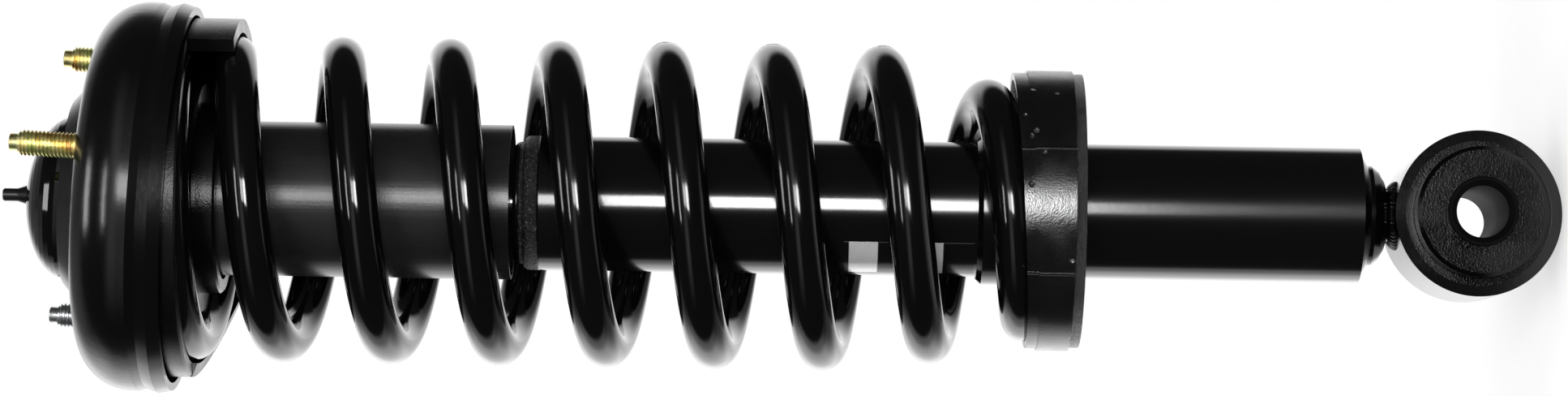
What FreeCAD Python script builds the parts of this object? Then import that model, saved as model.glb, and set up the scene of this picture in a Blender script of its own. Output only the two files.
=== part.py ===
"""Coil-over strut assembly: twin-tube damper, coil spring, bell-shaped upper mount and a bushed lower eye.

The damper's axis is Z with the chassis end up. The origin is the centre of the lower eye's bore, whose axis is Y.
The assembly stands at full extension, held there by its spring against the rebound stop. Millimetres.
"""
import FreeCAD, Part
import math
import os
from FreeCAD import Vector

# Lower eye and its bush
eye_radius = 32.4
eye_wall = 4.0
eye_width = 48.0
sleeve_bore = 20.2          # takes an M20 bolt
sleeve_wall = 3.5
sleeve_length = 74.0
sleeve_chamfer = 2.2
bush_collar_radius = 25.4   # the raised round of rubber that faces the bracket's cheeks
bush_recess = 0.8           # rubber set back from the ring's faces
bush_fit = 0.03             # radial, rubber on its sleeve

# Damper body
body_start = 44.4           # eye centre to the lower edge of the reserve tube
body_length = 321.7
body_diameter = 52.8
body_wall = 1.6
oil_gap = 5.8                # radial, between the reserve tube and the pressure tube
barrel_wall = 1.5
cap_nose_inset = 2.4        # cap's nose, in from the body's skin
cap_nose_height = 10.4
cap_wall = 2.0
press_fit = 0.02            # radial, pieces pressed together
stem_radius = 12.8
stem_collar_radius = 19.6    # its flared top, welded under the body

# Piston rod and valves
rod_diameter = 14.0
rod_thread = 12.0
rod_spigot = 10.0           # lower end that carries the piston
rod_fit = 0.05              # radial, rod in its guide
stroke = 112.0
rebound_gap = 0.3
piston_height = 14.0
piston_fit = 0.06           # radial, band in the pressure tube
check_lift = 1.0
disc_gap = 0.3

# Lower spring seat
seat_height = 154.2         # eye centre to the underside of the seat
seat_radius = 53.8
seat_thickness = 4.0
seat_collar_top = 194.9
seat_collar_wall = 3.0
pad_radius = 55.0
pad_band_height = 13.5      # cup wall of the lower isolator at its lowest side
pad_lip_height = 20.0       # its lip, at the same side
pad_floor = 2.8
pad_tilt = 3.4              # degrees, the cup's rim follows the last turn of the coil

# Coil spring
wire_diameter = 16.95
coil_radius = 55.7          # to the centre of the wire
coil_end_radius = 42.9      # lower end turn
coil_turns = 9.0
closed_low = 0.25           # turns lying on the lower seat
closed_high = 0.55
closing = 0.7               # turns over which the pitch closes up
closed_pitch = 17.3
coil_start_angle = 50.0     # degrees about Z, lower end of the wire
coil_gap = 0.3

# Upper mount, heights down from its top face
mount_height = 551.4        # eye centre to the raised middle of the bell
bell_radius = 76.4
bell_sheet = 3.0
bell_depth = 45.0
bell_step = 8.1             # the stud flat lies this far below the raised middle
bell_boss_radius = 36.6
stud_flat_radius = 57.0
stud_flat_start = 45.6
bell_corner = 20.7
bell_hole_radius = 24.0
stud_circle_radius = 55.4
stud_diameter = 10.0
stud_angles = {"mount_stud_long": [-75.0], "mount_stud_short": [15.0], "mount_stud_plain": [150.0]}
stud_reach = {"mount_stud_long": 25.4, "mount_stud_short": 17.0, "mount_stud_plain": 17.0}
stud_head_radius = 7.2
stud_head = 2.6
stud_collar_radius = 5.2    # splined collar pressed into the bell
stud_collar_proud = 0.4     # its top stands this far above the bell
dog_diameter = 6.6
dog_length = 3.4
dome_radius = 32.0
dome_height = 17.0
dome_sheet = 1.5
cup_radius = 33.2           # cup that holds the mount's rubber
cup_sheet = 2.0
cup_depth = 31.0
washer_radius = 20.0
washer_thickness = 3.0
mount_sleeve_radius = 9.0
nut_across = 19.0
nut_height = 10.0
mount_lean = 2.9            # degrees about Y: the bell, cup and dome lean on the rubber
lean_centre_drop = 32.4     # the lean turns about a point this far below the mount's top
dome_shift = 2.5            # back along the leaning bell, so that the dome stays over the rod

# Upper spring seat and isolator
pan_drop = 21.4             # mount top to the underside of the pan
pan_sheet = 3.0
pan_radius = 66.8
pan_neck_radius = 42.0
pad_top_radius = 70.6
pad_top_wall = 5.4
pad_top_skirt = 28.0        # below the pan
pad_flange_radius = 71.2
pad_nose_radius = 37.5       # stepped nose inside the coil's end turn
pad_nose_drop = 39.0
pad_step_radius = 45.6
pad_step_drop = 31.0
lug_drop = 17.5             # extra drop of the deep side of the skirt
lug_from, lug_to = -33.5, 180.0      # degrees about Z
lug_slope = 20.3            # degrees, the deep side's edge rises towards -X
lug_slope_start = -23.0     # X where that rise begins

# Dust tube and jounce bumper
dust_radius = 30.35
dust_wall = 1.5
dust_end_gap = 1.1          # the tube ends this far above the damper's cap at full extension
bumper_radius = 17.3
bumper_length = 56.0
bumper_cup_depth = 13.6

# Sizes that follow from the ones above
body_radius = body_diameter / 2
body_inner = body_radius - body_wall
body_top = body_start + body_length
cap_top = body_top + cap_nose_height
cap_nose_radius = body_radius - cap_nose_inset
barrel_outer = body_inner - oil_gap
barrel_radius = barrel_outer - barrel_wall
guide_top = body_top - 4.0
guide_bottom = guide_top - 18.0
barrel_top = guide_bottom + 8.0
barrel_bottom = body_start + 17.6
rod_radius = rod_diameter / 2
wire_radius = wire_diameter / 2
seat_top = seat_height + seat_thickness
coil_low = seat_top + pad_floor + wire_radius + coil_gap
pan_under = mount_height - pan_drop
coil_high = pan_under - 7.7 - wire_radius
stud_face = mount_height - bell_step
bell_floor = mount_height - bell_sheet
sleeve_top = bell_floor
nut_bottom = sleeve_top + washer_thickness
cup_bottom = bell_floor - cup_depth
washer_top = cup_bottom - 1.2
shoulder = washer_top - washer_thickness - dust_wall - cap_wall
bumper_top = shoulder
dome_top = mount_height + dome_height
piston_top = guide_bottom - 29.7
spigot_radius = rod_spigot / 2


def lathe(points):
    """Solid turned about Z from a closed outline of (radius, height) points; a triple entry is an arc's midpoint and end."""
    edges, start = [], Vector(points[0][0], 0, points[0][1])
    here = start
    for point in points[1:] + [points[0]]:
        if len(point) == 4:
            end = Vector(point[2], 0, point[3])
            edges.append(Part.Arc(here, Vector(point[0], 0, point[1]), end).toShape())
        else:
            end = Vector(point[0], 0, point[1])
            if (end - here).Length > 1e-6:
                edges.append(Part.makeLine(here, end))
        here = end
    face = Part.Face(Part.Wire(edges))
    return face.revolve(Vector(0, 0, 0), Vector(0, 0, 1), 360)


def ring(inner, outer, low, high):
    """Plain ring or tube about Z."""
    return lathe([(inner, low), (outer, low), (outer, high), (inner, high)])


def rod(radius, low, high, x=0.0, y=0.0):
    return Part.makeCylinder(radius, high - low, Vector(x, y, low))


def lean(shape):
    """The same piece, leaning with the mount on its rubber."""
    turned = shape.copy()
    turned.rotate(Vector(0, 0, mount_height - lean_centre_drop), Vector(0, 1, 0), mount_lean)
    return turned


def across_y(shape):
    """Turns a piece made about Z so that it lies about Y."""
    turned = shape.copy()
    turned.rotate(Vector(0, 0, 0), Vector(1, 0, 0), 90)
    return turned


def polar(radius, degrees):
    return radius * math.cos(math.radians(degrees)), radius * math.sin(math.radians(degrees))


def hexagon(across, low, high):
    corner = across / math.sqrt(3)
    points = [Vector(*polar(corner, 60 * k), low) for k in range(7)]
    return Part.Face(Part.makePolygon(points)).extrude(Vector(0, 0, high - low))


def sector(outer, low, high, start, end):
    """Wedge about Z from start to end degrees."""
    wedge = Part.makeCylinder(outer, high - low, Vector(0, 0, low), Vector(0, 0, 1), end - start)
    wedge.rotate(Vector(0, 0, 0), Vector(0, 0, 1), start)
    return wedge


def ease(x):
    x = min(1.0, max(0.0, x))
    return x * x * (3 - 2 * x)


def coil_pitch():
    """Open pitch that makes the coil fill the height between its two seats."""
    closed_share = closed_low + closed_high + closing
    return (coil_high - coil_low - closed_pitch * closed_share) / (coil_turns - closed_share)


def ramp(turns):
    """Share of full opening gathered over some turns, when the pitch grows evenly over the first few."""
    growing = min(max(turns, 0.0), closing)
    return growing * growing / (2 * closing) + max(turns - closing, 0.0)


def coil_rise(turn):
    """Height of the wire's centre above its lower end; the pitch is closed at both ends and open between."""
    closes_at = coil_turns - closed_high - closing
    return closed_pitch * turn + (coil_pitch() - closed_pitch) * (ramp(turn - closed_low) - ramp(turn - closes_at))


def coil_point(turn):
    shrink = 1 - ease((turn - 0.8) / 0.85)
    radius = coil_radius - (coil_radius - coil_end_radius) * shrink
    angle = math.radians(coil_start_angle + 360 * turn)
    return Vector(radius * math.cos(angle), radius * math.sin(angle), coil_low + coil_rise(turn))


def coil_wire(radius, start, end):
    """Round bar of the given radius along the coil's centre line, between two counts of turns."""
    count = max(8, int((end - start) * 16))
    points = [coil_point(start + (end - start) * k / count) for k in range(count + 1)]
    path = Part.BSplineCurve()
    path.interpolate(points)
    tangent = path.tangent(path.FirstParameter)[0]
    section = Part.Wire(Part.makeCircle(radius, points[0], tangent))
    return Part.Wire(path.toShape()).makePipeShell([section], True, True)


def save(name, shape):
    shape.removeSplitter().exportStep(os.path.join("parts", name + ".step"))


def lower_eye():
    ring_shape = across_y(ring(eye_radius - eye_wall, eye_radius, -eye_width / 2, eye_width / 2))
    outer = eye_radius - eye_wall - press_fit
    inner = sleeve_bore / 2 + sleeve_wall + bush_fit
    half, reach = eye_width / 2 - bush_recess, sleeve_length / 2 - 0.7
    groove = outer - 6.0
    bush = lathe([(inner, -reach), (bush_collar_radius - 1.5, -reach), (bush_collar_radius, -reach + 1.5),
                  (bush_collar_radius, -half - 2.0), (groove, -half), (outer, -half), (outer, half),
                  (groove, half), (bush_collar_radius, half + 2.0), (bush_collar_radius, reach - 1.5),
                  (bush_collar_radius - 1.5, reach), (inner, reach)])
    bore, skin, end = sleeve_bore / 2, sleeve_bore / 2 + sleeve_wall, sleeve_length / 2
    sleeve = lathe([(bore, -end + sleeve_chamfer), (bore + sleeve_chamfer, -end), (skin - 0.5, -end),
                    (skin, -end + 0.5), (skin, end - 0.5), (skin - 0.5, end), (bore + sleeve_chamfer, end),
                    (bore, end - sleeve_chamfer)])
    save("eye_ring", ring_shape)
    save("eye_rubber_bush", across_y(bush))
    save("eye_inner_sleeve", across_y(sleeve))


def body_base():
    """Closed foot of the damper, with the stem and weld that carry the eye."""
    eye_bar = across_y(rod(eye_radius, -eye_width, eye_width))
    plug = body_inner - press_fit
    base = lathe([(0, body_start - 3.2), (stem_collar_radius, body_start - 3.2), (plug, body_start),
                  (plug, body_start + 9.6), (plug - 2.4, body_start + 9.6), (plug - 2.4, body_start + 2.4),
                  (plug - 5.0, body_start + 0.4), (0, body_start + 0.4)])
    stem_top = body_start - 3.2
    root = stem_radius - 2.6
    stem = lathe([(0, eye_radius - 10.0), (root, eye_radius - 10.0), (root, eye_radius + 1.2),
                  (stem_radius + 1.2, eye_radius + 2.4), (stem_collar_radius - 2.2, stem_top - 4.4),
                  (stem_collar_radius, stem_top - 1.6), (stem_collar_radius, stem_top), (0, stem_top)])
    bead = lathe([(root, eye_radius - 8.0), (root + 3.6, eye_radius - 8.0), (root + 3.2, eye_radius - 0.6),
                  (root, eye_radius + 1.2)])
    save("body_base_cap", base)
    save("eye_stem", stem.cut(eye_bar))
    save("eye_weld", bead.cut(eye_bar))


def damper_tubes():
    save("reserve_tube", ring(body_inner, body_radius, body_start, body_top))
    save("pressure_tube", ring(barrel_radius, barrel_outer, barrel_bottom, barrel_top))
    nose, corner = cap_nose_radius, body_top + 2.0
    hole = rod_radius + 1.2
    cap = lathe([(hole, cap_top - cap_wall), (nose - cap_wall, cap_top - cap_wall), (nose - cap_wall, body_top + 4.6),
                 (body_radius - cap_wall, corner), (body_radius - cap_wall, body_top),
                 (body_radius, body_top), (body_radius, body_top + 4.4),
                 (body_radius - 0.8, body_top + 6.0, nose, body_top + 6.6), (nose, cap_top - 1.5),
                 (nose - 1.5, cap_top), (hole, cap_top)])
    save("body_top_cap", cap)


def rod_guidance():
    """Guide, its plain bush, and the seal that runs on the rod."""
    fit, spigot = body_inner - press_fit, barrel_radius - press_fit
    bush_outer = rod_radius + 1.6
    guide = lathe([(bush_outer, guide_bottom), (spigot, guide_bottom), (spigot, barrel_top),
                   (barrel_outer + 1.0, barrel_top), (barrel_outer + 1.0, guide_bottom + 4.0),
                   (barrel_outer + 2.4, guide_bottom + 4.0), (fit, barrel_top + 3.0), (fit, guide_top),
                   (14.5, guide_top), (13.5, guide_top - 3.0), (bush_outer, guide_top - 3.0)])
    drains = [rod(1.2, guide_bottom, guide_top + 1, *polar(barrel_outer + 2.6, 45 + 90 * k)) for k in range(4)]
    for drain in drains:
        guide = guide.cut(drain)
    save("rod_guide", guide)
    save("rod_guide_bush", ring(rod_radius + rod_fit, bush_outer - press_fit, guide_bottom + 0.5, guide_top - 3.0))
    seal_low, seal_high = guide_top + 0.1, guide_top + 5.6
    lip, rim = rod_radius + rod_fit, body_inner - 4.3
    seal = lathe([(lip, seal_low + 1.4), (lip + 0.9, seal_low), (12.0, seal_low), (rim, seal_low), (rim, seal_high),
                  (11.0, seal_high), (lip + 0.8, seal_high), (lip, seal_high - 1.2), (lip + 0.8, seal_low + 2.6)])
    save("rod_seal", seal)


def piston_rod():
    low = piston_top - piston_height - 12.6
    tip_low = dome_top - 0.4
    thread_radius = rod_thread / 2
    bar = lathe([(0, low), (spigot_radius - 0.8, low), (spigot_radius, low + 0.8), (spigot_radius, piston_top + 6.0),
                 (rod_radius, piston_top + 6.0), (rod_radius, shoulder - 0.6), (rod_radius - 0.6, shoulder),
                 (thread_radius, shoulder), (thread_radius, nut_bottom + nut_height + 2.6),
                 (3.85, nut_bottom + nut_height + 4.6), (3.85, tip_low + 0.6), (2.7, tip_low + 4.0),
                 (2.55, tip_low + 4.6), (2.55, tip_low + 9.6), (2.1, tip_low + 10.2), (0, tip_low + 10.2)])
    stop_low = guide_bottom - rebound_gap - 9.0
    groove = ring(rod_radius - 1.0, rod_radius + 1, stop_low, stop_low + 3.0)
    save("piston_rod", bar.cut(groove))
    save("rebound_stop_ring", ring(rod_radius - 1.0 + press_fit, 12.4, stop_low + 0.02, stop_low + 2.98))
    bumper = lathe([(rod_radius + 0.1, stop_low + 3.0), (12.4, stop_low + 3.0), (13.2, stop_low + 6.0),
                    (12.0, stop_low + 9.0), (rod_radius + 0.1, stop_low + 9.0)])
    save("rebound_bumper", bumper)


def piston_group():
    top, low = piston_top, piston_top - piston_height
    land = barrel_radius - 0.6
    body = lathe([(spigot_radius + press_fit, low), (land - 3, low), (land, low + 2.0), (land, low + 3.0),
                  (land - 1.0, low + 3.0), (land - 1.0, top - 3.0), (land, top - 3.0), (land, top - 0.6),
                  (land - 0.6, top), (spigot_radius + press_fit, top)])
    for k in range(6):
        body = body.cut(rod(1.7, low - 1, top + 1, *polar(barrel_radius - 5.1, 60 * k)))
        body = body.cut(rod(1.2, low - 1, top + 1, *polar(8.0, 60 * k + 30)))
    save("piston", body)
    save("piston_band", ring(land - 1.0 + press_fit, barrel_radius - piston_fit, low + 3.02, top - 3.02))
    disc_low = top + disc_gap
    disc = ring(spigot_radius + 0.3, barrel_radius - 2.1, disc_low, disc_low + 0.7)
    for k in range(6):
        disc = disc.cut(rod(1.5, disc_low - 1, disc_low + 2, *polar(8.0, 60 * k + 30)))
    save("piston_check_disc", disc)
    save("check_spring", star_spring(disc_low + 0.9, disc_low + 4.2, spigot_radius + 0.3, 11.8))
    save("check_stop_washer", ring(spigot_radius + press_fit, 12.6, disc_low + 4.4, top + 6.0))
    stack = ring(spigot_radius + press_fit, 11.0, low - 1.6, low)
    for k in range(3):
        stack = stack.fuse(ring(spigot_radius + press_fit, 10.0 - 1.4 * k, low - 1.6 - 0.5 * (k + 1), low - 1.6 - 0.5 * k))
    save("rebound_valve_discs", stack)
    nut = hexagon(17.0, low - 10.6, low - 3.1).cut(rod(spigot_radius + press_fit, low - 12, low))
    save("piston_nut", nut)


def star_spring(low, high, inner, outer):
    """Light cone of sheet spring, three arms, that holds a check disc down."""
    thick = 0.5
    cone = lathe([(inner, high - thick), (inner + 1.5, high - thick), (outer, low), (outer + 0.6, low),
                  (inner + 2.1, high), (inner, high)])
    for k in range(3):
        cone = cone.cut(sector(outer + 2, low - 1, high - thick - 0.2, 120 * k, 120 * k + 70))
    return cone


def base_valve():
    low, fit = barrel_bottom, barrel_radius - press_fit
    pin_radius = 3.0
    foot = body_start + 2.4
    body = lathe([(pin_radius + press_fit, low - 4.0), (barrel_outer + 1.4, low - 4.0), (barrel_outer + 1.4, low),
                  (fit, low), (fit, low + 6.0), (pin_radius + press_fit, low + 6.0)])
    legs = ring(barrel_outer - 1.2, barrel_outer + 1.4, foot, low - 4.0)
    for k in range(4):
        legs = legs.cut(sector(30, foot - 1, low - 4.1, 90 * k, 90 * k + 50))
        body = body.cut(rod(1.6, low - 5, low + 7, *polar(barrel_radius - 4.9, 90 * k)))
        body = body.cut(rod(1.1, low - 5, low + 7, *polar(6.4, 90 * k + 45)))
    save("base_valve_body", body.fuse(legs))
    disc_low = low + 6.0 + disc_gap
    disc = ring(pin_radius + 0.3, barrel_radius - 2.3, disc_low, disc_low + 0.7)
    for k in range(4):
        disc = disc.cut(rod(1.3, disc_low - 1, disc_low + 2, *polar(6.4, 90 * k + 45)))
    save("base_intake_disc", disc)
    save("base_valve_spring", star_spring(disc_low + 0.9, disc_low + 3.8, pin_radius + 0.3, 10.4))
    stack = ring(pin_radius + press_fit, 9.0, low - 5.2, low - 4.0)
    for k in range(2):
        stack = stack.fuse(ring(pin_radius + press_fit, 7.6 - 1.6 * k, low - 5.2 - 0.5 * (k + 1), low - 5.2 - 0.5 * k))
    save("base_valve_discs", stack)
    pin = lathe([(0, low - 8.2), (4.8, low - 8.2), (4.8, low - 6.2), (pin_radius, low - 6.2),
                 (pin_radius, disc_low + 4.0), (5.6, disc_low + 4.0), (5.0, disc_low + 6.2), (0, disc_low + 6.2)])
    save("base_valve_pin", pin)


def spring_seat():
    hole = body_radius + press_fit
    collar = hole + seat_collar_wall
    seat = lathe([(hole, seat_height), (seat_radius, seat_height), (seat_radius, seat_top), (collar + 3.0, seat_top),
                  (collar + 0.9, seat_top + 0.9, collar, seat_top + 3.0), (collar, seat_collar_top - 2.0),
                  (hole + 1.0, seat_collar_top), (hole, seat_collar_top)])
    save("lower_spring_seat", seat)


def tilted_cutter(height, degrees):
    """Everything above a plane that crosses the axis at the given height and rises towards +X."""
    block = Part.makeBox(300, 300, 100, Vector(-150, -150, 0))
    block.rotate(Vector(0, 0, 0), Vector(0, 1, 0), -degrees)
    block.translate(Vector(0, 0, height))
    return block


def lower_isolator():
    """Moulded cup that wraps the last turn of the coil; its rim and lip follow the wire."""
    inner = body_radius + press_fit + seat_collar_wall + 1.5
    rise = pad_radius * math.tan(math.radians(pad_tilt))
    low = seat_top
    band = ring(pad_radius - 3.4, pad_radius, low, low + 60).cut(
        tilted_cutter(low + pad_band_height + rise / 2, pad_tilt * 0.8))
    lip = ring(pad_radius - 3.6, pad_radius - 0.8, low, low + 60).cut(
        tilted_cutter(low + pad_lip_height, pad_tilt))
    floor = ring(inner + 4.0, pad_radius - 1.0, low, low + pad_floor)
    cradle = ring(coil_end_radius - 9.4, pad_radius - 2.0, low, low + 60).cut(
        tilted_cutter(low + pad_floor + 4.6, pad_tilt * 0.6))
    cup = floor.fuse([band, lip, cradle])
    cup = cup.cut(coil_wire(wire_radius + coil_gap, -0.04, 1.5))
    solids = sorted(cup.Solids, key=lambda s: s.Volume)
    save("lower_spring_isolator", solids[-1])


def coil_spring():
    save("coil_spring", coil_wire(wire_radius, 0.0, coil_turns))


def upper_isolator():
    """Rubber between the coil and its upper pan, with a skirt outside the wire that is deep on one side."""
    outer, inner = pad_top_radius, pad_top_radius - pad_top_wall
    low = pan_under - pad_top_skirt
    bore, nose, step = dust_radius + 1.65, pan_under - pad_nose_drop, pan_under - pad_step_drop
    pad = lathe([(pan_neck_radius - 4, pan_under - 16.0), (bore, pan_under - 17.0), (bore, nose),
                 (pad_nose_radius - 0.9, nose), (pad_nose_radius, nose + 0.9), (pad_nose_radius, step),
                 (pad_step_radius - 0.9, step), (pad_step_radius, step + 0.9), (pad_step_radius, pan_under - 19.0),
                 (inner, pan_under - 19.0), (inner, low), (outer - 0.8, low), (outer, low + 0.8),
                 (outer, pan_under - 12.0), (pad_flange_radius, pan_under - 10.0), (pad_flange_radius, pan_under - 3.0),
                 (pan_radius - 0.6, pan_under - 0.8), (pan_radius - 0.6, pan_under),
                 (pan_neck_radius - 4, pan_under)])
    lug = ring(inner, outer, low - lug_drop, low + 2.0)
    lug = lug.common(sector(outer + 5, low - lug_drop, low + 2.0, lug_from, lug_to))
    below = Part.makeBox(400, 400, 100, Vector(-200, -200, -100))
    below.rotate(Vector(0, 0, 0), Vector(0, 1, 0), lug_slope)
    lug = lug.cut(below.translated(Vector(lug_slope_start, 0, low - lug_drop)))
    pad = pad.fuse(lug).cut(coil_wire(wire_radius + coil_gap, coil_turns - 1.6, coil_turns + 0.04))
    solids = sorted(pad.Solids, key=lambda s: s.Volume)
    save("upper_spring_isolator", solids[-1])


def bell_outline(inset):
    """The bell's skin from its hole to its rolled rim; inset is the depth below the outer face."""
    top, flat, edge = mount_height - inset, stud_face - inset, bell_radius - inset
    corner_x, corner_z = stud_flat_radius, stud_face - bell_corner
    diagonal = math.sqrt(0.5)
    mid = (corner_x + (edge - corner_x) * diagonal, corner_z + (flat - corner_z) * diagonal)
    rim = mount_height - bell_depth
    shift = inset * 0.55
    return [(bell_hole_radius, top), (bell_boss_radius - shift, top), (stud_flat_start - shift, flat),
            (stud_flat_radius, flat), (mid[0], mid[1], edge, corner_z), (edge, rim + 13.0),
            (edge - 1.2, rim + 9.6), (edge + 0.4, rim + 5.0), (edge - 0.9, rim)]


def mount_bell():
    outer, inner = bell_outline(0.0), bell_outline(bell_sheet)
    back = []
    for index in range(len(inner) - 1, 0, -1):
        point, before = inner[index], inner[index - 1]
        if len(point) == 4:
            back.append((point[2], point[3]) if not back or back[-1] != (point[2], point[3]) else back.pop())
            back.append((point[0], point[1], before[-2], before[-1]))
        elif not (back and back[-1][-2:] == point):
            back.append(point)
    back.append(inner[0])
    bell = lathe(outer + back)
    under = stud_face - bell_sheet
    for angles in stud_angles.values():
        for angle in angles:
            place = polar(stud_circle_radius, angle)
            bell = bell.cut(rod(stud_collar_radius + press_fit, under - 20, stud_face + 5, *place))
            bell = bell.cut(rod(stud_head_radius + press_fit, under - stud_head - 2, under, *place))
    save("upper_mount_bell", lean(bell))


def mount_studs():
    radius, dog = stud_diameter / 2, dog_diameter / 2
    for name, angles in stud_angles.items():
        top = stud_face + stud_reach[name]
        head_top = stud_face - bell_sheet
        stud = lathe([(0, head_top - stud_head), (stud_head_radius, head_top - stud_head), (stud_head_radius, head_top),
                      (stud_collar_radius, head_top), (stud_collar_radius, stud_face + stud_collar_proud),
                      (radius, stud_face + stud_collar_proud), (radius, top - dog_length - 1.4), (dog, top - dog_length),
                      (dog, top - 0.5), (dog - 0.5, top), (0, top)])
        studs = [lean(stud.translated(Vector(*polar(stud_circle_radius, a), 0))) for a in angles]
        save(name, studs[0] if len(studs) == 1 else Part.makeCompound(studs))


def mount_core():
    """Dome, rubber, its cup and sleeve, the washers and the rod's nut."""
    def dome_outline(radius, height):
        steps = 12
        quarter = [math.radians(90 * k / steps) for k in range(steps + 1)]
        return [(radius * math.cos(a), mount_height + height * math.sin(a)) for a in quarter]

    outside = dome_outline(dome_radius, dome_height)[:-1] + [(0, dome_top)]
    inside = dome_outline(dome_radius - dome_sheet, dome_height - dome_sheet)[:-1] + [(0, dome_top - dome_sheet)]
    dome = lean(lathe(outside + inside[::-1]).translated(Vector(-dome_shift, 0, 0)))
    save("mount_dome", dome.cut(rod(3.85 + 0.35, mount_height, dome_top + 5)))
    cup_inner = cup_radius - cup_sheet
    lip = washer_radius - 2.0
    cup = lathe([(lip, cup_bottom), (cup_radius - 3.0, cup_bottom), (cup_radius, cup_bottom + 3.0),
                 (cup_radius, bell_floor), (cup_inner, bell_floor), (cup_inner, cup_bottom + 3.6),
                 (cup_radius - 3.6, cup_bottom + cup_sheet), (lip, cup_bottom + cup_sheet)])
    save("mount_cup", lean(cup))
    sleeve_low = washer_top
    rubber = lathe([(0, cup_bottom + 3.0), (lip - 2.0, cup_bottom + 3.0),
                    (lip, cup_bottom + cup_sheet), (cup_radius - 4.0, cup_bottom + cup_sheet),
                    (cup_inner - press_fit, cup_bottom + 4.4), (cup_inner - press_fit, bell_floor),
                    (bell_hole_radius - 1, bell_floor), (bell_hole_radius - 3, bell_floor - 2.0),
                    (0, bell_floor - 2.0)])
    bore = rod(mount_sleeve_radius + press_fit, cup_bottom - 5, bell_floor + 5)
    save("mount_rubber", lean(rubber).cut(bore))
    thread = rod_thread / 2 + press_fit
    save("mount_inner_sleeve", ring(thread, mount_sleeve_radius, sleeve_low, sleeve_top))
    save("mount_top_washer", ring(thread, washer_radius, sleeve_top, nut_bottom))
    save("mount_lower_washer", ring(thread, washer_radius + 1.5, washer_top - washer_thickness, washer_top))
    nut = hexagon(nut_across, nut_bottom, nut_bottom + nut_height)
    flange = rod(nut_across / 2 + 2.5, nut_bottom, nut_bottom + 2.0)
    save("rod_top_nut", nut.fuse(flange).cut(rod(thread, nut_bottom - 1, nut_bottom + nut_height + 1)))


def spring_pan():
    neck, bell_under = pan_neck_radius, stud_face - bell_sheet
    pan = lathe([(neck - 7, pan_under), (pan_radius, pan_under), (pan_radius, pan_under + pan_sheet),
                 (neck + pan_sheet, pan_under + pan_sheet), (neck + pan_sheet, bell_under + 6),
                 (neck, bell_under + 6), (neck, pan_under + pan_sheet), (neck - 7, pan_under + pan_sheet)])
    save("upper_spring_pan", pan.common(lean(rod(90, pan_under - 20, bell_under - 0.4))))


def dust_and_bumper():
    thread = rod_thread / 2 + press_fit
    plate = washer_top - washer_thickness
    low = cap_top + dust_end_gap
    skin = dust_radius - dust_wall
    tube = lathe([(thread, plate - dust_wall), (skin - 2.0, plate - dust_wall), (skin, plate - dust_wall - 2.0),
                  (skin, low + 5.0), (skin, low), (dust_radius, low), (dust_radius, plate - 2.5),
                  (dust_radius - 2.5, plate), (thread, plate)])
    save("dust_tube", tube)
    cup_plate = plate - dust_wall
    cup_skin = bumper_radius + 0.3
    cup = lathe([(thread, cup_plate - cap_wall), (cup_skin, cup_plate - cap_wall),
                 (cup_skin, cup_plate - bumper_cup_depth), (cup_skin + 1.6, cup_plate - bumper_cup_depth),
                 (cup_skin + 1.6, cup_plate - 1.0), (cup_skin + 0.6, cup_plate), (thread, cup_plate)])
    save("bumper_cup", cup)
    bore, high = rod_radius + 0.6, bumper_top
    waists = 3
    outline = [(bore, high - bumper_length), (bumper_radius - 5.0, high - bumper_length)]
    lobe = (bumper_length - bumper_cup_depth - 2.0) / waists
    for k in range(waists):
        low_k = high - bumper_length + lobe * k
        outline += [(bumper_radius - 1.2, low_k + lobe * 0.35), (bumper_radius - 1.2, low_k + lobe * 0.65),
                    (bumper_radius - 4.2, low_k + lobe)]
    outline += [(bumper_radius, high - bumper_cup_depth + 1.0), (bumper_radius, high), (bore, high)]
    save("jounce_bumper", lathe(outline))


def label():
    """Blank identification sticker wrapped part-way round the body."""
    low, high, film = 196.0, 247.0, 0.15
    patch = ring(body_radius, body_radius + film, low, high)
    save("body_label", patch.common(sector(body_radius + 2, low, high, 195.0, 236.0)))


os.makedirs("parts", exist_ok=True)
lower_eye()
body_base()
damper_tubes()
rod_guidance()
piston_rod()
piston_group()
base_valve()
spring_seat()
lower_isolator()
coil_spring()
upper_isolator()
mount_bell()
mount_studs()
mount_core()
spring_pan()
dust_and_bumper()
label()
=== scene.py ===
"""Looks of the coil-over strut assembly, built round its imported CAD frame. Metres, +Z towards the mount."""
import bmesh
import bpy
import math
from mathutils import Matrix, Vector, noise


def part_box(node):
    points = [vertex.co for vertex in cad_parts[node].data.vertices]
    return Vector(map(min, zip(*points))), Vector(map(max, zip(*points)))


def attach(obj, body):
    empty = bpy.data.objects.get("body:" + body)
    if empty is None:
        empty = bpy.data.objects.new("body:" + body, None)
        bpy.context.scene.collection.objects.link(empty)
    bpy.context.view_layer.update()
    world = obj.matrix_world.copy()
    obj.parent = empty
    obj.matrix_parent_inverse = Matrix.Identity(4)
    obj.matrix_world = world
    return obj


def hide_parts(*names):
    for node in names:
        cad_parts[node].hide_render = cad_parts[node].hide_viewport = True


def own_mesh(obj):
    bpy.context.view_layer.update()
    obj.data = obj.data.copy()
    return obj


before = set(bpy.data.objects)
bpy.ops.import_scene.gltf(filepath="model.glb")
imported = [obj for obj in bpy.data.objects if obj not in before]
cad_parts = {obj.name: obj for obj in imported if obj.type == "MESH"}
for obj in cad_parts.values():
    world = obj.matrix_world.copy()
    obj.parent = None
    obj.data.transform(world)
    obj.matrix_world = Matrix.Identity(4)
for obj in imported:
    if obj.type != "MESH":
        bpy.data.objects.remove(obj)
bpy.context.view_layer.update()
MM = 0.001

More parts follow.
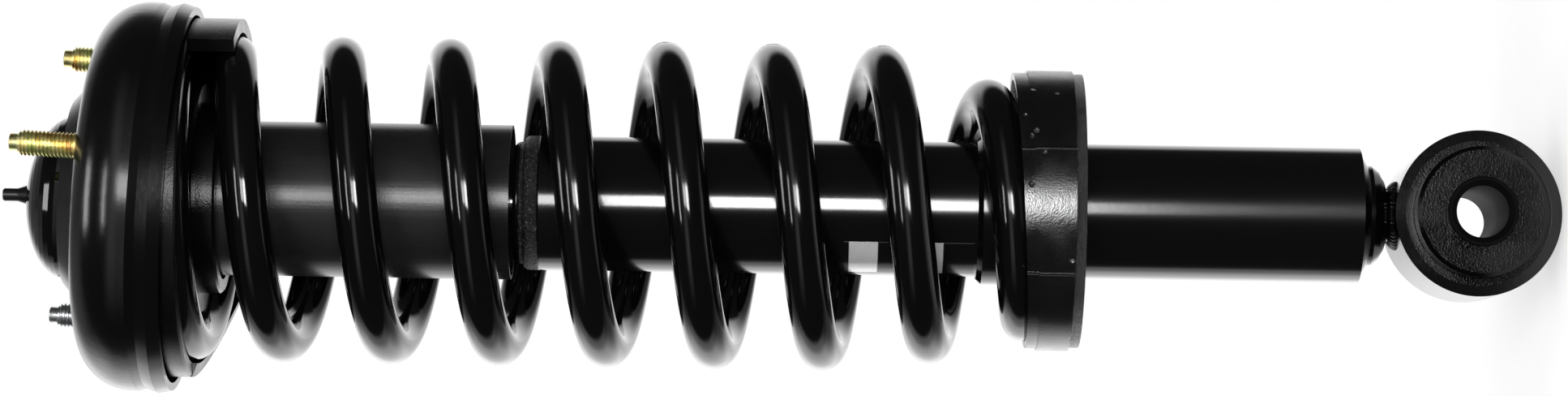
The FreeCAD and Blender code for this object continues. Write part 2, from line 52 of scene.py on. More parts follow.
# Sizes that the looks share with the CAD, in millimetres
wire_diameter = 16.95
coil_radius, coil_end_radius, coil_turns = 55.7, 42.9, 9.0
closed_low, closed_high, closing, closed_pitch = 0.25, 0.55, 0.7, 17.3
coil_start_angle = 50.0
widens_at, widening = 0.8, 0.85
stud_diameter, stud_pitch = 10.0, 1.5
dog_diameter, dog_length = 6.6, 3.4
stud_centres = {"mount_stud_long": -75.0, "mount_stud_short": 15.0, "mount_stud_plain": 150.0}
stud_reach = {"mount_stud_long": 25.4, "mount_stud_short": 17.0, "mount_stud_plain": 17.0}
stud_circle, stud_face = 55.4, 543.3
mount_lean, lean_centre = 2.9, 519.0
stud_foot, stud_head = 5.6, 2.6
stem_root = 10.2
coil_low, coil_high = 169.775, 513.825

# Sizes of the looks alone, in millimetres
stud_head_radius = 7.15     # the CAD's is 7.2

# Camera, in metres: the lens axis crosses the strut between its ends, with the strut's +X upwards in the view
view_turn = math.radians(3.9)
view_roll = 0.0155
lens_length, sensor_width = 114.5, 36.0
eye_distance, eye_height, eye_rise = 1.965, 0.2706, 0.0034
towards_camera = Vector((-math.sin(view_turn), -math.cos(view_turn), 0))
view_up = Vector((math.cos(view_turn), -math.sin(view_turn), 0))


# ---- node trees and materials ----

class Nodes:
    """Short calls for building one node tree. An argument is a number or another node's output."""

    def __init__(self, tree):
        self.tree = tree

    def add(self, kind, **settings):
        node = self.tree.nodes.new(kind)
        for key, value in settings.items():
            setattr(node, key, value)
        return node

    def link(self, value, socket):
        if isinstance(value, (int, float, tuple)):
            socket.default_value = value
        else:
            self.tree.links.new(value, socket)

    def math(self, operation, a, b=0.0, c=0.0):
        node = self.add("ShaderNodeMath", operation=operation)
        for value, socket in zip((a, b, c), node.inputs):
            self.link(value, socket)
        return node.outputs[0]

    def remap(self, value, low, high, to_low=0.0, to_high=1.0, smooth=True):
        node = self.add("ShaderNodeMapRange", interpolation_type="SMOOTHSTEP" if smooth else "LINEAR")
        numbers = {"Value": value, "From Min": low, "From Max": high, "To Min": to_low, "To Max": to_high}
        for key, number in numbers.items():
            self.link(number, node.inputs[key])
        return node.outputs["Result"]


class Shader(Nodes):
    """A new material's node tree, with textures placed on the object."""

    def __init__(self, name):
        self.material = bpy.data.materials.new(name)
        self.material.use_nodes = True
        super().__init__(self.material.node_tree)
        self.principled = self.tree.nodes["Principled BSDF"]
        self.place = self.add("ShaderNodeTexCoord").outputs["Object"]

    def noise(self, scale, detail=3.0, rough=0.55, stretch=(1, 1, 1)):
        mapping = self.add("ShaderNodeMapping")
        mapping.inputs["Scale"].default_value = stretch
        self.link(self.place, mapping.inputs["Vector"])
        node = self.add("ShaderNodeTexNoise")
        node.inputs["Scale"].default_value = scale
        node.inputs["Detail"].default_value = detail
        node.inputs["Roughness"].default_value = rough
        self.link(mapping.outputs[0], node.inputs["Vector"])
        return node.outputs["Fac"]

    def cells(self, scale):
        node = self.add("ShaderNodeTexVoronoi", feature="F1")
        node.inputs["Scale"].default_value = scale
        self.link(self.place, node.inputs["Vector"])
        return node.outputs["Distance"]

    def blend(self, factor, a, b):
        node = self.add("ShaderNodeMix", data_type="RGBA")
        self.link(factor, node.inputs["Factor"])
        self.link(a, node.inputs["A"])
        self.link(b, node.inputs["B"])
        return node.outputs["Result"]

    def ramp(self, value, stops):
        node = self.add("ShaderNodeValToRGB")
        elements = node.color_ramp.elements
        while len(elements) < len(stops):
            elements.new(0.5)
        for element, (position, colour) in zip(elements, stops):
            element.position, element.color = position, (*colour, 1)
        self.link(value, node.inputs["Fac"])
        return node.outputs["Color"]

    def axes(self):
        """Separate X, Y and Z of the place on the object."""
        node = self.add("ShaderNodeSeparateXYZ")
        self.link(self.place, node.inputs[0])
        return node.outputs

    def radius(self):
        """Distance from the object's Z axis."""
        x, y = self.axes()[:2]
        return self.math("SQRT", self.math("ADD", self.math("MULTIPLY", x, x), self.math("MULTIPLY", y, y)))

    def between(self, value, low, high, edge):
        """1 where the value is between two limits, fading to 0 over the edge."""
        return self.math("MULTIPLY", self.remap(value, low, low + edge), self.remap(value, high, high - edge))

    def feed(self, name):
        """What is linked to one of the surface's inputs."""
        return self.principled.inputs[name].links[0].from_socket

    def bump(self, height, distance, strength=1.0):
        node = self.add("ShaderNodeBump")
        node.inputs["Strength"].default_value = strength
        node.inputs["Distance"].default_value = distance
        self.link(height, node.inputs["Height"])
        self.link(node.outputs[0], self.principled.inputs["Normal"])

    def set(self, **values):
        for key, value in values.items():
            self.link(value, self.principled.inputs[key.replace("_", " ")])


def grey(value, tint=(1.0, 1.0, 1.0)):
    return tuple(value * t for t in tint) + (1.0,)


def coat(name, base=0.003, gloss=0.09, orange_peel=0.00001, dust=0.5, sheen=0.5):
    """Gloss black electro-coat: orange peel, faint haze, dust specks and thin dull wipe marks."""
    s = Shader(name)
    haze = s.noise(28, 4)
    wipes = s.noise(9, 6, 0.7, (1, 1, 0.12))
    specks = s.remap(s.cells(950), 0.10, 0.02)
    sparse = s.remap(s.noise(70, 2), 0.60, 0.72)
    dirt = s.math("MULTIPLY", s.math("MULTIPLY", specks, sparse), dust)
    tone = s.blend(haze, grey(base * 0.7), grey(base * 1.5, (1, 1, 1.04)))
    tone = s.blend(dirt, tone, grey(0.22))
    rough = s.math("ADD", s.remap(wipes, 0.42, 0.75, gloss, gloss + 0.09), s.math("MULTIPLY", dirt, 0.5))
    s.set(Base_Color=tone, Roughness=rough, IOR=1.5, Specular_IOR_Level=sheen)
    s.bump(s.noise(420, 2), orange_peel, 1.0)
    return s


def plain_coat(name, **settings):
    return coat(name, **settings).material


def spring_coat():
    """Powder coat on the coil, scuffed to a dull grey on the outermost crowns of three turns."""
    s = coat("spring_coat", base=0.0025, gloss=0.085)
    turn = s.add("ShaderNodeAttribute", attribute_name="coil_turn").outputs["Fac"]
    crown = s.math("ABSOLUTE", s.math("SUBTRACT", s.math("FRACT", s.math("SUBTRACT", turn, 0.35)), 0.5))
    near = s.remap(crown, 0.035, 0.012)
    low = s.remap(turn, 4.4, 4.0)
    out = s.remap(s.radius(), 0.0605, 0.0635)
    patchy = s.remap(s.noise(190, 5, 0.7, (1, 1, 0.6)), 0.44, 0.60)
    worn = s.math("MULTIPLY", s.math("MULTIPLY", near, low), s.math("MULTIPLY", out, patchy))
    s.set(Base_Color=s.blend(worn, s.feed("Base Color"), grey(0.30)),
          Roughness=s.math("MAXIMUM", s.feed("Roughness"), s.math("MULTIPLY", worn, 0.62)))
    return s.material


def cap_coat():
    """Body's top cap: a thick, textured coat on its nose with painted glints on its specks, and gloss below.
    """
    s = Shader("cap_coat")
    band = s.between(s.axes()[2], 0.3662, 0.3748, 0.001)
    rough_height = s.noise(520, 5, 0.65)
    # painted highlight: bright grey specks over the textured band stand in for light glinting off its bumps
    painted_glints = s.remap(s.noise(900, 3, 0.7), 0.58, 0.70)
    tone = s.blend(s.math("MULTIPLY", band, s.remap(rough_height, 0.5, 0.7)), grey(0.003), grey(0.03))
    tone = s.blend(s.math("MULTIPLY", band, painted_glints), tone, grey(0.16))
    s.set(Base_Color=tone, Roughness=s.remap(band, 0, 1, 0.12, 0.42), IOR=1.5)
    s.bump(s.math("MULTIPLY", rough_height, band), 0.0016, 1.0)
    return s.material


def seat_coat():
    """Lower seat plate: gloss faces, and a sheared edge that shows torn, scaly metal through the paint."""
    s = Shader("seat_coat")
    edge = s.math("MULTIPLY", s.remap(s.radius(), 0.0532, 0.0536), s.remap(s.axes()[2], 0.1600, 0.1585))
    torn = s.noise(260, 6, 0.75, (1, 1, 2.5))
    streaks = s.noise(150, 3, 0.6, (1.6, 1.6, 0.3))
    scaly = s.math("ADD", torn, s.math("MULTIPLY", streaks, 0.3))
    scale = s.math("MULTIPLY", edge, s.remap(scaly, 0.60, 0.74))
    tone = s.blend(scale, grey(0.003), grey(0.02))
    s.set(Base_Color=tone, Roughness=s.remap(edge, 0, 1, 0.14, 0.24), IOR=1.5,
          Specular_IOR_Level=s.remap(edge, 0, 1, 0.5, 1.0))
    s.bump(s.math("MULTIPLY", torn, edge), 0.0012, 1.0)
    return s.material


def rubber(name, base=0.008, rough=0.36, lines=False, pits=False, sheen=0.5):
    """Moulded black rubber: fine grain, soft bloom, and where asked mould parting lines and gas pits."""
    s = Shader(name)
    bloom = s.noise(22, 5, 0.6)
    grain = s.noise(1500, 3)
    tone = s.blend(s.remap(bloom, 0.35, 0.75), grey(base * 0.75), grey(base * 1.7, (1.0, 0.99, 0.97)))
    height = s.math("MULTIPLY", grain, 0.25)
    if lines:
        x, y = s.axes()[:2]
        angle = s.math("DEGREES", s.math("ARCTAN2", y, x))
        for centre in (-67.6, -120.2, 20.0, 108.0, 158.0):
            gap = s.math("ABSOLUTE", s.math("SUBTRACT", angle, centre))
            height = s.math("ADD", height, s.math("MULTIPLY", s.remap(gap, 0.75, 0.25), 1.6))
    if pits:
        hole = s.math("MULTIPLY", s.remap(s.cells(150), 0.22, 0.12), s.remap(s.noise(38, 1), 0.60, 0.66))
        height = s.math("SUBTRACT", height, s.math("MULTIPLY", hole, 2.5))
        tone = s.blend(s.math("MULTIPLY", hole, 0.7), tone, grey(0.10))
    s.set(Base_Color=tone, Roughness=s.remap(s.noise(60, 3), 0.3, 0.7, rough - 0.05, rough + 0.08), IOR=1.5,
          Specular_IOR_Level=sheen)
    s.bump(height, 0.00035, 0.9)
    return s.material


def dust_tube_satin():
    """Extruded satin tube with a drawn finish along its length and faint handling smears."""
    s = Shader("dust_tube_satin")
    smear = s.noise(16, 6, 0.65, (1, 1, 0.5))
    drawn = s.noise(500, 3, 0.6, (1, 1, 0.03))
    tone = s.blend(s.remap(smear, 0.35, 0.7), grey(0.009), grey(0.020))
    tone = s.blend(s.math("MULTIPLY", s.remap(s.cells(700), 0.09, 0.03), 0.35), tone, grey(0.12))
    s.set(Base_Color=tone, Roughness=s.remap(smear, 0.3, 0.7, 0.23, 0.31), IOR=1.5)
    s.bump(s.math("ADD", drawn, s.math("MULTIPLY", s.noise(900, 2), 0.5)), 0.00006, 0.8)
    return s.material


def tooled(name, low, high, rough=0.3, stretch=(1, 1, 1), scale=300, depth=0.00003, spots=None):
    """Bare or plated metal: tool marks, tone variation, and where asked small spots of another colour."""
    s = Shader(name)
    marks = s.noise(scale, 5, 0.65, stretch)
    tone = s.blend(s.remap(s.noise(90, 4), 0.3, 0.7), (*low, 1), (*high, 1))
    tone = s.blend(s.math("MULTIPLY", s.remap(marks, 0.45, 0.8), 0.5), tone, (*[c * 0.55 for c in low], 1))
    if spots:
        tone = s.blend(s.remap(s.noise(450, 4), 0.58, 0.72), tone, (*spots, 1))
    s.set(Base_Color=tone, Metallic=1.0, Roughness=s.remap(marks, 0.3, 0.75, rough - 0.06, rough + 0.14))
    s.bump(marks, depth, 0.8)
    return s


def metal(*looks, **more):
    return tooled(*looks, **more).material


def yellow_zinc():
    """Yellow passivate: gold with green and copper interference tints."""
    s = Shader("yellow_zinc")
    drift = s.noise(130, 4, 0.6)
    tone = s.ramp(drift, [(0.28, (0.72, 0.36, 0.16)), (0.40, (0.90, 0.74, 0.26)), (0.52, (1.0, 0.93, 0.50)),
                          (0.62, (0.70, 0.80, 0.28)), (0.74, (0.95, 0.80, 0.30))])
    s.set(Base_Color=tone, Metallic=1.0, Roughness=s.remap(s.noise(700, 4), 0.3, 0.75, 0.30, 0.50))
    s.bump(s.noise(900, 4), 0.00004, 0.8)
    return s.material


def label_film():
    """Blank printed film: black gloss with two bright metallised fields, rippled by the adhesive under it."""
    s = Shader("label_film")
    z = s.axes()[2]
    smudge = s.noise(45, 5, 0.6)
    field = s.math("ADD", s.between(z, 0.2335, 0.2452, 0.0005), s.between(z, 0.2080, 0.2126, 0.0005))
    silver = s.blend(s.remap(smudge, 0.35, 0.7), grey(0.95), grey(0.80, (1, 1, 1.02)))
    s.set(Base_Color=s.blend(field, grey(0.004), silver), Metallic=s.math("MULTIPLY", field, 0.3),
          Roughness=s.remap(smudge, 0.3, 0.7, 0.12, 0.24), IOR=1.5)
    s.bump(s.noise(95, 3), 0.00012, 0.7)
    return s.material


def rod_chrome():
    """Ground and chromed rod; its threaded upper tip is blacked."""
    s = tooled("rod_chrome", (0.66, 0.67, 0.69), (0.80, 0.81, 0.83), 0.12, lathe_marks, 700, 0.000004)
    tip = s.remap(s.axes()[2], 0.5560, 0.5565, smooth=False)
    bright = s.math("SUBTRACT", 1.0, tip)
    rough = s.math("ADD", s.math("MULTIPLY", s.feed("Roughness"), bright), s.math("MULTIPLY", tip, 0.3))
    s.set(Base_Color=s.blend(tip, s.feed("Base Color"), grey(0.006)), Metallic=bright, Roughness=rough)
    return s.material


def foam():
    """Cellular polyurethane: a yellowed skin broken by fine open cells, with painted shade darkening their
    hollows.
    """
    s = Shader("bumper_foam")
    cell = s.remap(s.cells(900), 0.05, 0.35)
    tone = s.blend(s.noise(40, 4), (0.60, 0.48, 0.22, 1), (0.78, 0.68, 0.42, 1))
    # painted shade: the cells' hollows take a dark brown in place of the skin's yellow
    s.set(Base_Color=s.blend(cell, (0.34, 0.25, 0.11, 1), tone), Roughness=s.remap(cell, 0, 1, 0.95, 0.7))
    s.bump(cell, 0.0002, 0.8)
    return s.material


def polymer(name, low, high, rough):
    s = Shader(name)
    s.set(Base_Color=s.blend(s.remap(s.noise(260, 4), 0.35, 0.65), (*low, 1), (*high, 1)),
          Roughness=s.remap(s.noise(500, 3), 0.3, 0.7, rough - 0.08, rough + 0.1), IOR=1.5)
    s.bump(s.noise(1200, 3), 0.00005, 0.8)
    return s.material


lathe_marks = (1, 1, 9)
finishes = {
    "bell": plain_coat("bell_coat", base=0.0025, gloss=0.19, orange_peel=0.00003, dust=0.8),
    "gloss": plain_coat("gloss_coat", base=0.0025, gloss=0.08, dust=0.6),
    "body": plain_coat("body_coat", base=0.002, gloss=0.13, sheen=0.75, orange_peel=0.000006, dust=0.5),
    "eye": plain_coat("eye_coat", base=0.0015, gloss=0.10, orange_peel=0.00003, dust=2.5, sheen=0.35),
    "cap": cap_coat(),
    "seat": seat_coat(),
    "spring": spring_coat(),
    "top_rubber": rubber("top_isolator_rubber", 0.002, 0.22, sheen=0.3),
    "low_rubber": rubber("low_isolator_rubber", 0.003, 0.20, lines=True, pits=True, sheen=0.9),
    "bush_rubber": rubber("bush_rubber", 0.001, 0.14, pits=True, sheen=0.2),
    "inner_rubber": rubber("inner_rubber", 0.018, 0.5),
    "seal": rubber("seal_rubber", 0.022, 0.42),
    "tube": dust_tube_satin(),
    "sleeve": plain_coat("sleeve_coat", base=0.003, gloss=0.55, orange_peel=0.00004, dust=0.5, sheen=0.03),
    "yellow_zinc": yellow_zinc(),
    "white_zinc": metal("white_zinc", (0.50, 0.51, 0.53), (0.78, 0.79, 0.80), 0.28, spots=(0.30, 0.31, 0.33)),
    "chrome": rod_chrome(),
    "bare": metal("bare_steel", (0.36, 0.36, 0.37), (0.55, 0.55, 0.56), 0.32, lathe_marks, 400),
    "blued": metal("spring_steel", (0.16, 0.18, 0.25), (0.34, 0.35, 0.40), 0.26, lathe_marks, 400),
    "sintered": metal("sintered_iron", (0.14, 0.14, 0.15), (0.30, 0.30, 0.31), 0.55, scale=900, depth=0.00012,
                      spots=(0.06, 0.06, 0.07)),
    "bronze": metal("bush_bronze", (0.50, 0.32, 0.13), (0.72, 0.52, 0.28), 0.3, lathe_marks, 400),
    "band": polymer("band_polymer", (0.20, 0.10, 0.05), (0.34, 0.20, 0.11), 0.42),
    "label": label_film(),
    "foam": foam(),
}

finish_of = {
    "upper_mount_bell": "bell", "mount_dome": "gloss", "mount_cup": "gloss", "upper_spring_pan": "gloss",
    "reserve_tube": "body", "body_base_cap": "body", "body_top_cap": "cap", "lower_spring_seat": "seat",
    "eye_stem": "eye", "eye_ring": "eye", "eye_weld": "eye", "coil_spring": "spring",
    "upper_spring_isolator": "top_rubber", "lower_spring_isolator": "low_rubber",
    "eye_rubber_bush": "bush_rubber", "mount_rubber": "inner_rubber", "rebound_bumper": "inner_rubber",
    "dust_tube": "tube", "eye_inner_sleeve": "sleeve",
    "mount_stud_long": "yellow_zinc", "mount_stud_short": "yellow_zinc", "mount_stud_plain": "white_zinc",
    "mount_top_washer": "white_zinc", "mount_lower_washer": "white_zinc", "rod_top_nut": "white_zinc",
    "mount_inner_sleeve": "white_zinc", "bumper_cup": "white_zinc", "piston_rod": "chrome",
    "pressure_tube": "bare", "rebound_stop_ring": "bare", "check_stop_washer": "bare", "piston_nut": "bare",
    "base_valve_pin": "bare", "piston_check_disc": "blued", "check_spring": "blued",
    "rebound_valve_discs": "blued", "base_intake_disc": "blued", "base_valve_spring": "blued",
    "base_valve_discs": "blued", "rod_guide": "sintered", "piston": "sintered", "base_valve_body": "sintered",
    "rod_guide_bush": "bronze", "rod_seal": "seal", "piston_band": "band", "jounce_bumper": "foam",
    "body_label": "label",
}

for node, finish in finish_of.items():
    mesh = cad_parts[node].data
    mesh.materials.clear()
    mesh.materials.append(finishes[finish])


# ---- pieces ----

def new_piece(name, mesh, finish, body, slot, *nodes):
    """A mesh as a named piece with its finish and body, standing for the CAD nodes given. Its material slot
    argument is not used.
    """
    piece = bpy.data.objects.new(name, mesh)
    bpy.context.scene.collection.objects.link(piece)
    mesh.materials.append(finishes[finish])
    for polygon in mesh.polygons:
        polygon.use_smooth = True
    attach(piece, body)
    if nodes:
        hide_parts(*nodes)
    return piece


def grid_mesh(name, rows, closed_rows=False):
    """Skin over rows of points that each close on themselves, its ends capped unless the rows close too."""
    mesh = bpy.data.meshes.new(name)
    work = bmesh.new()
    made = [[work.verts.new(p) for p in row] for row in rows]
    count = len(rows[0])
    pairs = list(zip(made, made[1:])) + ([(made[-1], made[0])] if closed_rows else [])
    for low, high in pairs:
        for k in range(count):
            work.faces.new((low[k], low[(k + 1) % count], high[(k + 1) % count], high[k]))
    if not closed_rows:
        work.faces.new(made[0][::-1])
        work.faces.new(made[-1])
    bmesh.ops.recalc_face_normals(work, faces=work.faces)
    work.to_mesh(mesh)
    work.free()
    return mesh


def clamped(x):
    return min(1.0, max(0.0, x))


def stud_piece(node, angle):
    """Threaded stud with a rolled thread that runs out at both ends, and a dog point."""
    turned = math.radians(angle)
    centre = Vector((math.cos(turned), math.sin(turned), 0)) * stud_circle * MM
    pivot = Matrix.Translation((0, 0, lean_centre * MM))
    lean = pivot @ Matrix.Rotation(math.radians(mount_lean), 4, "Y") @ pivot.inverted()
    top, bottom, around = stud_face + stud_reach[node], stud_face - stud_foot, 64
    thread_top = top - dog_length - 0.2
    radius, thread_depth = stud_diameter / 2, 0.62
    head, head_top = stud_head_radius, bottom + stud_head
    profile = [(bottom, 0.1, 0), (bottom, head - 0.4, 0), (bottom + 0.4, head, 0), (head_top - 0.4, head, 0),
               (head_top - 0.02, head - 0.4, 0), (head_top, radius, 0)]
    shank, row_height, fade_in, fade_out = head_top + 0.1, 0.14, 1.0, 1.1
    steps = int((thread_top - shank) / row_height)
    for k in range(steps + 1):
        z = shank + (thread_top - shank) * k / steps
        full = clamped((z - stud_face - 0.2) / fade_in) * clamped((thread_top - z + 0.35) / fade_out)
        profile.append((z, radius - (0.9 * max(0.0, (z - thread_top + 1.3) / 1.3)), full))
    dog = dog_diameter / 2
    profile += [(thread_top + 0.25, dog + 0.15, 0), (thread_top + 0.5, dog, 0), (top - 0.5, dog, 0),
                (top - 0.12, dog - 0.3, 0), (top, dog - 0.75, 0), (top - 0.25, dog - 1.4, 0),
                (top - 0.3, 0.1, 0)]
    rows = []
    for z, crest, full in profile:
        row = []
        for k in range(around):
            turn = k / around
            wave = abs(((z / stud_pitch - turn) % 1.0) * 2 - 1)
            cut = clamped((wave - 0.12) / 0.76) * full
            r = crest - min(crest - 0.05, thread_depth * cut)
            a = 2 * math.pi * turn
            row.append(lean @ (centre + Vector((r * math.cos(a), r * math.sin(a), z)) * MM))
        rows.append(row)
    mesh = grid_mesh(node + "_thread", rows)
    finish, slot = ("white_zinc", "zinc_silver") if node.endswith("plain") else ("yellow_zinc", "zinc_yellow")
    new_piece(node.replace("mount_", "") + "_threaded", mesh, finish, "chassis_side", slot, node)


def ease(x):
    x = clamped(x)
    return x * x * (3 - 2 * x)


def ramp(turns):
    """Turns that have opened, easing in over the closing share."""
    growing = min(max(turns, 0.0), closing)
    return growing * growing / (2 * closing) + max(turns - closing, 0.0)


closed_share = closed_low + closed_high + closing
open_pitch = (coil_high - coil_low - closed_pitch * closed_share) / (coil_turns - closed_share)
opening_end = coil_turns - closed_high - closing


def opened(turn):
    """Share of the coil's working turns below this one."""
    return ramp(turn - closed_low) - ramp(turn - opening_end)


def coil_point(turn):
    """Place of the coil's centre line, whose lower end turn is smaller than the rest."""
    shrink = 1 - ease((turn - widens_at) / widening)
    radius = coil_radius - (coil_radius - coil_end_radius) * shrink
    angle = math.radians(coil_start_angle + 360 * turn)
    height = coil_low + closed_pitch * turn + (open_pitch - closed_pitch) * opened(turn)
    return Vector((radius * math.cos(angle), radius * math.sin(angle), height)) * MM


def spring_tree(radius):
    """Node tree that skins the coil's centre line as round bar. Its end turns stay as the rest closes up."""
    tree = bpy.data.node_groups.new("coil_bar", "GeometryNodeTree")
    for way in ("INPUT", "OUTPUT"):
        tree.interface.new_socket("Geometry", in_out=way, socket_type="NodeSocketGeometry")
    n = Nodes(tree)

    def stored(name):
        node = n.add("GeometryNodeInputNamedAttribute", data_type="FLOAT")
        node.inputs["Name"].default_value = name
        return node.outputs["Attribute"]

    start, end = n.add("NodeGroupInput"), n.add("NodeGroupOutput")
    split = n.add("ShaderNodeSeparateXYZ")
    n.link(n.add("GeometryNodeInputPosition").outputs[0], split.inputs[0])
    moved = n.math("SUBTRACT", split.outputs["Z"], stored("rest_height"))
    most = n.add("GeometryNodeAttributeStatistic", data_type="FLOAT", domain="POINT")
    n.link(start.outputs[0], most.inputs["Geometry"])
    n.link(moved, most.inputs["Attribute"])
    share = n.math("MULTIPLY", most.outputs["Max"], stored("travel_share"))
    height = n.math("ADD", stored("rest_height"), share)
    joined = n.add("ShaderNodeCombineXYZ")
    n.link(split.outputs["X"], joined.inputs["X"])
    n.link(split.outputs["Y"], joined.inputs["Y"])
    n.link(height, joined.inputs["Z"])
    place = n.add("GeometryNodeSetPosition")
    n.link(start.outputs[0], place.inputs["Geometry"])
    n.link(joined.outputs[0], place.inputs["Position"])
    line = n.add("GeometryNodeMeshToCurve")
    n.link(place.outputs[0], line.inputs[0])
    circle = n.add("GeometryNodeCurvePrimitiveCircle")
    circle.inputs["Resolution"].default_value = 40
    circle.inputs["Radius"].default_value = radius
    bar = n.add("GeometryNodeCurveToMesh")
    n.link(line.outputs[0], bar.inputs["Curve"])
    n.link(circle.outputs[0], bar.inputs["Profile Curve"])
    bar.inputs["Fill Caps"].default_value = True
    shade = n.add("GeometryNodeSetShadeSmooth")
    n.link(bar.outputs[0], shade.inputs["Geometry"])
    paint = n.add("GeometryNodeSetMaterial")
    paint.inputs["Material"].default_value = finishes["spring"]
    n.link(shade.outputs[0], paint.inputs["Geometry"])
    n.link(paint.outputs[0], end.inputs[0])
    return tree


def spring_piece():
    """Coil spring whose centre line is what squashes, so that its bar stays round."""
    count = int(coil_turns * 72)
    turns = [coil_turns * k / count for k in range(count + 1)]
    points = [coil_point(t) for t in turns]
    mesh = bpy.data.meshes.new("coil_line")
    mesh.from_pydata(points, [(k, k + 1) for k in range(count)], [])
    whole = opened(coil_turns)
    values = {"rest_height": [p.z for p in points], "coil_turn": turns,
              "travel_share": [1 - opened(t) / whole for t in turns]}
    for name, numbers in values.items():
        mesh.attributes.new(name, "FLOAT", "POINT").data.foreach_set("value", numbers)
    piece = new_piece("coil_spring_bar", mesh, "spring", "chassis_side", "black_coat", "coil_spring")
    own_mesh(piece)
    modifier = piece.modifiers.new("bar", "NODES")
    modifier.node_group = spring_tree(wire_diameter / 2 * MM)


def squashed_copy(name, node, finish, body, slot):
    """A soft or springy inner piece: a copy of the CAD shape with its own finish."""
    piece = new_piece(name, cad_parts[node].data.copy(), finish, body, slot, node)
    piece.data.materials.clear()
    piece.data.materials.append(finishes[finish])
    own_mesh(piece)


def weld_piece():
    """Rippled weld bead where the stem meets the eye, following the saddle between the two rounds."""
    low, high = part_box("eye_ring")
    eye = (high.z - low.z) / 2 / MM
    rows, around, section = [], 220, 14
    bead, ripples, spread = 2.3, 46, 0.8
    for k in range(around):
        a = 2 * math.pi * k / around
        out = Vector((math.cos(a), math.sin(a), 0))
        foot = out * (stem_root + spread)
        foot.z = math.sqrt(eye ** 2 - foot.x ** 2)
        ripple = 0.24 * math.sin(a * ripples) + 0.5 * noise.noise(Vector((3 * out.x, 3 * out.y, 5.0)))
        size = bead + ripple * 0.8
        up = (Vector((0, 0, 1)) + out * 0.9).normalized()
        side = up.cross(Vector((-out.y, out.x, 0))).normalized()
        rows.append([(foot + (up * math.sin(b) * 0.85 + side * math.cos(b) * 1.25) * size) * MM
                     for b in (2 * math.pi * j / section for j in range(section))])
    mesh = grid_mesh("weld_bead", rows, closed_rows=True)
    new_piece("eye_weld_bead", mesh, "eye", "damper_body", "black_coat", "eye_weld")


for stud, angle in stud_centres.items():
    stud_piece(stud, angle)
spring_piece()
weld_piece()
squashed_copy("jounce_bumper_foam", "jounce_bumper", "foam",
              "chassis_side", "bumper_foam")
squashed_copy("check_spring_leaf", "check_spring",
              "blued", "chassis_side", "spring_steel")
squashed_copy("intake_spring_leaf", "base_valve_spring",
              "blued", "damper_body", "spring_steel")


# ---- floor, light and camera ----

def pale_floor():
    """Round pale floor under the eye that fades out at its edge."""
    mesh = bpy.data.meshes.new("floor")
    work = bmesh.new()
    bmesh.ops.create_circle(work, cap_ends=True, segments=96, radius=0.5)
    work.to_mesh(mesh)
    work.free()
    floor = bpy.data.objects.new("floor", mesh)
    floor.location.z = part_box("eye_ring")[0].z - 0.0002
    bpy.context.scene.collection.objects.link(floor)
    s = Shader("pale_floor")
    s.set(Base_Color=s.blend(s.noise(6), grey(0.84), grey(0.88)), Roughness=0.8,
          Alpha=s.remap(s.radius(), 0.22, 0.06), Emission_Color=grey(1.0), Emission_Strength=0.55)
    mesh.materials.append(s.material)


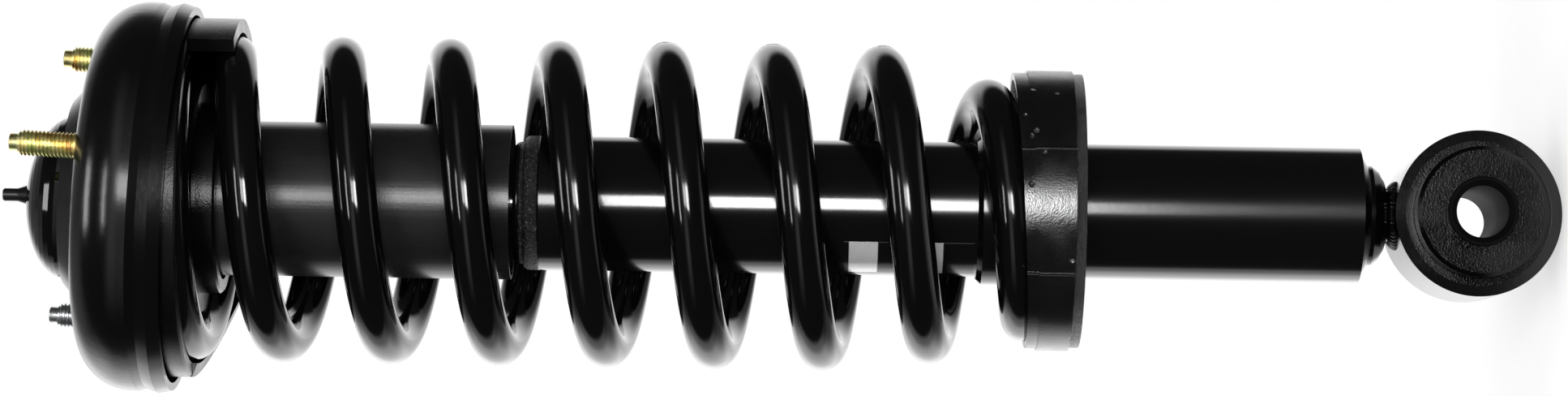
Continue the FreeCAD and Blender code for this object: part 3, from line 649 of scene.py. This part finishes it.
def studio():
    """White surroundings behind and below the strut, dim ones on the camera's side, and four soft lights."""
    world = bpy.data.worlds.new("studio")
    bpy.context.scene.world = world
    world.use_nodes = True
    world.node_tree.nodes.clear()
    n = Nodes(world.node_tree)
    direction = n.add("ShaderNodeTexCoord").outputs["Generated"]

    def dot(vector):
        node = n.add("ShaderNodeVectorMath", operation="DOT_PRODUCT")
        n.link(direction, node.inputs[0])
        node.inputs[1].default_value = vector
        return node.outputs["Value"]

    # Angles go round the strut in degrees: 0 towards the camera, 90 down in the view, -90 up
    ambient = 0.045
    down = n.math("MULTIPLY", dot(view_up), -1.0)
    angle = n.math("DEGREES", n.math("ARCTAN2", down, dot(towards_camera)))
    above = n.remap(angle, -148, -134, 1.7, 0.0)
    near_edge = n.remap(angle, 107, 116, 0.0, 1.1)
    below = n.remap(angle, 118, 132, 0.0, 1.3)
    along = dot((0, 0, 1))
    level = n.remap(n.math("ABSOLUTE", along), 0.35, 0.70, 1.0, 0.12)
    band = n.math("MULTIPLY", n.remap(along, 0.06, 0.22, 0.0, 0.7), n.remap(along, 0.30, 0.52, 1.0, 0.0))
    band = n.math("MULTIPLY", band, n.remap(n.math("ABSOLUTE", angle), 30, 85, 1.0, 0.0))
    lower_side = n.math("MULTIPLY", n.math("ADD", near_edge, below), n.remap(angle, 160, 174, 1.0, 0.60))
    white = n.math("MULTIPLY", n.math("ADD", above, lower_side), level)
    shown, lit = n.add("ShaderNodeBackground"), n.add("ShaderNodeBackground")
    shown.inputs["Color"].default_value = grey(1.0)
    n.link(n.math("ADD", n.math("ADD", white, band), ambient), lit.inputs["Strength"])
    mix = n.add("ShaderNodeMixShader")
    n.link(n.add("ShaderNodeLightPath").outputs["Is Camera Ray"], mix.inputs["Fac"])
    n.link(lit.outputs[0], mix.inputs[1])
    n.link(shown.outputs[0], mix.inputs[2])
    n.link(mix.outputs[0], n.add("ShaderNodeOutputWorld").inputs["Surface"])

    soft_box("soft_box", out=1.93, up=0.20, height=0.24, length=0.35, width=0.58, radiance=26)
    soft_box("upper_box", out=1.93, up=0.20, height=0.66, length=0.42, width=0.50, radiance=12)
    soft_box("high_strip", out=1.45, up=0.02, height=1.55, length=0.20, width=0.95, radiance=9)
    soft_box("top_strip", out=0.30, up=0.05, height=1.90, length=0.30, width=0.60, radiance=7)


def soft_box(name, out, up, height, length, width, radiance):
    """Soft light facing the strut: out towards the camera, up in the view and at a height along +Z."""
    light = bpy.data.lights.new(name, "AREA")
    light.shape, light.size, light.size_y = "RECTANGLE", length, width
    light.energy = radiance * math.pi * length * width
    box = bpy.data.objects.new(name, light)
    bpy.context.scene.collection.objects.link(box)
    spot = towards_camera * out + view_up * up + Vector((0, 0, height))
    strut_middle = Vector((0, 0, 0.30))
    facing = (spot - strut_middle).normalized()
    across = view_up.cross(facing).normalized()
    turn = Matrix((across, facing.cross(across), facing)).transposed().to_4x4()
    box.matrix_world = Matrix.Translation(spot) @ turn


def camera():
    """Long lens level with the middle of the strut, a little above its axis in the view."""
    data = bpy.data.cameras.new("camera")
    data.lens, data.sensor_width, data.sensor_fit = lens_length, sensor_width, "HORIZONTAL"
    data.clip_start, data.clip_end = 0.05, 50
    right = Vector((0, 0, -1)) * math.cos(view_roll) + view_up * math.sin(view_roll)
    up = view_up * math.cos(view_roll) + Vector((0, 0, 1)) * math.sin(view_roll)
    eye = Vector((0, 0, eye_height)) + view_up * eye_rise + towards_camera * eye_distance
    cam = bpy.data.objects.new("camera", data)
    bpy.context.scene.collection.objects.link(cam)
    cam.matrix_world = Matrix.Translation(eye) @ Matrix((right, up, towards_camera)).transposed().to_4x4()
    bpy.context.scene.camera = cam


pale_floor()
studio()
camera()
bpy.context.scene.view_settings.view_transform = "Standard"
